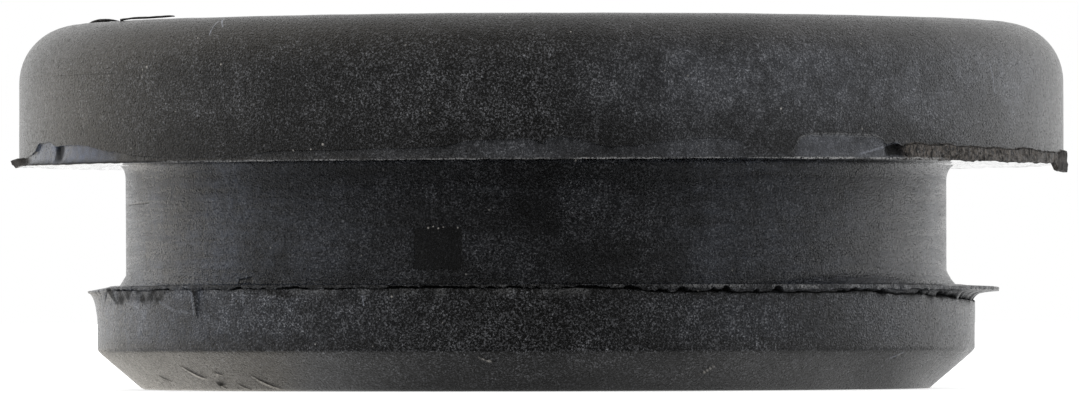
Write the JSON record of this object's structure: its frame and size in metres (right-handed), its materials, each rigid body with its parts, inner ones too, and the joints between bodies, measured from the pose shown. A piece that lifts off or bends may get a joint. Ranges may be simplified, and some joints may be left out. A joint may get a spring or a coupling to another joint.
{
  "type": "rubber grommet",
  "caption": "Round black rubber grommet with a wide rounded head, a panel groove, a tapered collar that snaps behind the sheet, and a plain through bore.",
  "frame": {"origin": "centre of the foot's flat lower face, on the bore's axis", "axes": "+Z along the bore, from the foot towards the head; +X towards the widest flash on the collar"},
  "size_m": [0.0409, 0.0404, 0.0143],
  "materials": {
    "rubber": "matt moulded"
  },
  "bodies": {
    "root": {"grommet": "rubber"}
  },
  "joints": []
}
